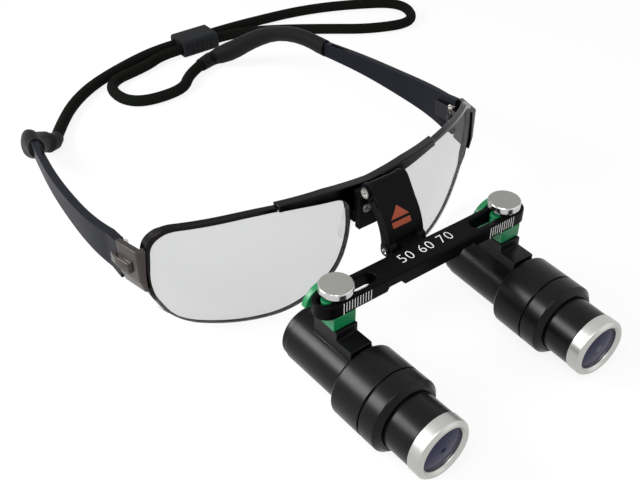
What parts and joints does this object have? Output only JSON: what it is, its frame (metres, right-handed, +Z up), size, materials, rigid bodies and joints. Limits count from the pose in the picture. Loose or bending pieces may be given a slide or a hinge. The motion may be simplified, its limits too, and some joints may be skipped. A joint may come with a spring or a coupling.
{
  "type": "dental loupes",
  "caption": "Flip-up binocular dental loupes on a wrap-around spectacle frame, with slotted pupil bar, clamp knobs, folding temples, ear sleeves and a head strap.",
  "frame": {"origin": "under the middle of the object, on the table it lies on (the strap is not counted)", "axes": "+Z up, the loupes look towards -Y, +X is the wearer's left"},
  "size_m": [0.2419, 0.2811, 0.0533],
  "materials": {
    "barrel_black": "satin black anodised look",
    "screw_steel": "polished",
    "frame_gunmetal": "dark gunmetal, gloss",
    "carriage_green": "moulded",
    "cord_fabric": "woven",
    "slider_rubber": "matt",
    "sleeve_rubber": "soft, matt",
    "optical_glass": "coated",
    "arm_black": "moulded, satin",
    "knob_metal": "matt top, bright side",
    "clear_lens": "clear, polished",
    "bar_black": "satin",
    "saddle_silicone": "soft, translucent grey",
    "silver_ring": "turned and matt",
    "temple_grey": "satin"
  },
  "bodies": {
    "front": {"brow_bar": "frame_gunmetal", "nose_saddle": "saddle_silicone", "mount_bracket": "arm_black", "bracket_screws": "screw_steel", "flip_pin": "screw_steel", "cord_left": "cord_fabric", "cord_right": "cord_fabric", "cord_loop": "cord_fabric", "lens_left": "clear_lens", "rim_left": "frame_gunmetal", "end_piece_left": "frame_gunmetal", "hinge_screw_left": "screw_steel", "lens_right": "clear_lens", "rim_right": "frame_gunmetal", "end_piece_right": "frame_gunmetal", "hinge_screw_right": "screw_steel"},
    "flip_arm": {"flip_arm": "arm_black", "tilt_pin": "screw_steel"},
    "loupe_bar": {"loupe_bar": "bar_black"},
    "slider": {"cord_slider": "slider_rubber"},
    "temple_left": {"temple_arm_left": "temple_grey", "temple_hinge_left": "screw_steel", "ear_sleeve_left": "sleeve_rubber"},
    "carriage_left": {"carriage_left": "carriage_green"},
    "knob_left": {"knob_left": "knob_metal"},
    "barrel_left": {"rear_housing_left": "barrel_black", "eyepiece_ring_left": "barrel_black", "eyepiece_lens_left": "optical_glass", "prism_left": "optical_glass", "barrel_body_left": "barrel_black", "focus_collar_left": "barrel_black", "objective_tube_left": "barrel_black", "objective_ring_left": "silver_ring", "objective_lens_left": "optical_glass"},
    "temple_right": {"temple_arm_right": "temple_grey", "temple_hinge_right": "screw_steel", "ear_sleeve_right": "sleeve_rubber"},
    "carriage_right": {"carriage_right": "carriage_green"},
    "knob_right": {"knob_right": "knob_metal"},
    "barrel_right": {"rear_housing_right": "barrel_black", "eyepiece_ring_right": "barrel_black", "eyepiece_lens_right": "optical_glass", "prism_right": "optical_glass", "barrel_body_right": "barrel_black", "focus_collar_right": "barrel_black", "objective_tube_right": "barrel_black", "objective_ring_right": "silver_ring", "objective_lens_right": "optical_glass"}
  },
  "joints": [
    {"name": "temple_fold_left", "type": "hinge", "parent": "front", "child": "temple_left", "pos_m": [0.0696, -0.01867, 0.0303], "axis": [0, 0, 1], "range_deg": [-3, 75], "deforming": ["cord_left"]},
    {"name": "temple_fold_right", "type": "hinge", "parent": "front", "child": "temple_right", "pos_m": [-0.0696, -0.01867, 0.0303], "axis": [0, 0, 1], "range_deg": [-75, 3], "deforming": ["cord_right"]},
    {"name": "flip_up", "type": "hinge", "parent": "front", "child": "flip_arm", "pos_m": [0, -0.06077, 0.0504], "axis": [-1, 0, 0], "range_deg": [0, 85]},
    {"name": "declination", "type": "hinge", "parent": "flip_arm", "child": "loupe_bar", "pos_m": [0, -0.07087, 0.0343], "axis": [-1, 0, 0], "range_deg": [-10, 12]},
    {"name": "pupil_slide_left", "type": "slide", "parent": "loupe_bar", "child": "carriage_left", "axis": [-1, 0, 0], "range_m": [-0.0008, 0.009]},
    {"name": "pupil_slide_right", "type": "slide", "parent": "loupe_bar", "child": "carriage_right", "axis": [1, 0, 0], "range_m": [-0.0008, 0.009]},
    {"name": "knob_turn_left", "type": "hinge", "parent": "carriage_left", "child": "knob_left", "pos_m": [0.0338, -0.08027, 0.039], "axis": [0, 0, -1], "range_deg": [-180, 180]},
    {"name": "knob_turn_right", "type": "hinge", "parent": "carriage_right", "child": "knob_right", "pos_m": [-0.0338, -0.08027, 0.039], "axis": [0, 0, -1], "range_deg": [-180, 180]},
    {"name": "convergence_left", "type": "hinge", "parent": "carriage_left", "child": "barrel_left", "pos_m": [0.0338, -0.08027, 0.024], "axis": [0, 0, 1], "range_deg": [-2, 4]},
    {"name": "convergence_right", "type": "hinge", "parent": "carriage_right", "child": "barrel_right", "pos_m": [-0.0338, -0.08027, 0.024], "axis": [0, 0, -1], "range_deg": [-2, 4]},
    {"name": "slider_slide", "type": "slide", "parent": "front", "child": "slider", "axis": [1, 0, 0], "range_m": [-0.005, 0.005]}
  ]
}
